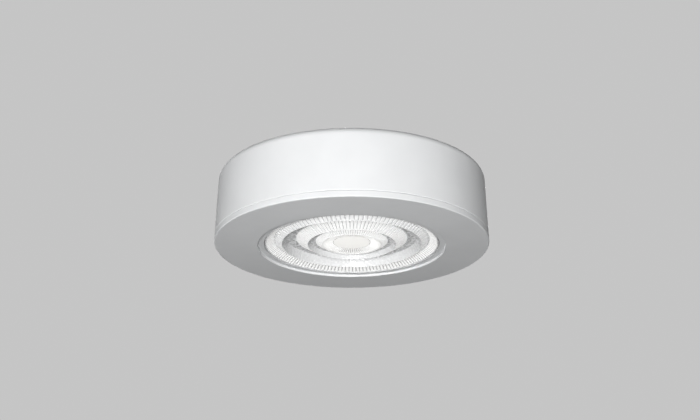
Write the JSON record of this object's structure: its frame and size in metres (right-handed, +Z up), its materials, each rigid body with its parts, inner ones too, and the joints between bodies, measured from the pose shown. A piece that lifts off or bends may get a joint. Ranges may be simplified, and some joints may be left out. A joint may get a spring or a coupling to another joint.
{
  "type": "recessed spotlight",
  "caption": "Round white spotlight insert with a flat bezel and ribbed lens, clipped into a shallow surface-mounted drum for a ceiling or shelf.",
  "frame": {"origin": "middle of the ceiling face, midway between the two ceiling screw holes", "axes": "+Z up into the ceiling, +X along the row of screw holes, light shines along -Z"},
  "size_m": [0.068, 0.068, 0.0185],
  "materials": {
    "housing_white": "satin",
    "inner_white": "matte",
    "socket_ivory": "satin",
    "zinc_steel": "satin",
    "spring_steel": "gloss",
    "fastener_steel": "gloss",
    "grommet_rubber": "matte",
    "seal_silicone": "matte",
    "lens_clear": "gloss",
    "cast_aluminium": "satin",
    "thermal_grey": "matte",
    "carrier_white": "satin",
    "phosphor_yellow": "matte",
    "board_green": "satin",
    "chip_black": "matte",
    "ferrite_grey": "matte",
    "can_aluminium": "gloss",
    "pin_brass": "gloss",
    "lead_red": "satin",
    "lead_black": "satin"
  },
  "bodies": {
    "housing": {"drum_housing": "housing_white", "mounting_plate": "zinc_steel", "plate_screws": "fastener_steel", "lead_grommet": "grommet_rubber"},
    "spot": {"bezel_ring": "housing_white", "lens_retainer": "inner_white", "led_holder": "inner_white", "supply_socket": "socket_ivory", "clip_bracket_left": "zinc_steel", "clip_bracket_right": "zinc_steel", "clip_spring_left": "spring_steel", "clip_spring_right": "spring_steel", "bezel_screws": "fastener_steel", "holder_screws": "fastener_steel", "board_screws": "fastener_steel", "bracket_rivets": "fastener_steel", "clip_pin_left": "fastener_steel", "clip_pin_right": "fastener_steel", "rim_seal": "seal_silicone", "lens_seal": "seal_silicone", "lens": "lens_clear", "heat_sink": "cast_aluminium", "thermal_pad": "thermal_grey", "led_carrier": "carrier_white", "led_phosphor": "phosphor_yellow", "driver_board": "board_green", "driver_chip": "chip_black", "driver_inductor": "ferrite_grey", "driver_capacitor": "can_aluminium", "socket_pins": "pin_brass", "lead_red": "lead_red", "lead_black": "lead_black"},
    "clip_left": {"clip_arm_left": "spring_steel"},
    "clip_right": {"clip_arm_right": "spring_steel"}
  },
  "joints": [
    {"name": "spot_drop", "type": "slide", "parent": "housing", "child": "spot", "axis": [0, 0, -1], "range_m": [0, 0.016], "stiffness_N_per_m": 60, "springref_m": -0.03},
    {"name": "clip_left_fold", "type": "hinge", "parent": "spot", "child": "clip_left", "pos_m": [-0.019, 0, -0.0068], "axis": [0, 1, 0], "range_deg": [0, 92], "deforming": ["clip_spring_left"]},
    {"name": "clip_right_fold", "type": "hinge", "parent": "spot", "child": "clip_right", "pos_m": [0.019, 0, -0.0068], "axis": [0, -1, 0], "range_deg": [0, 92], "deforming": ["clip_spring_right"]}
  ],
  "couplings": [
    {"joint": "clip_left_fold", "follows": "spot_drop", "rad_per_m": 100},
    {"joint": "clip_right_fold", "follows": "spot_drop", "rad_per_m": 100}
  ]
}
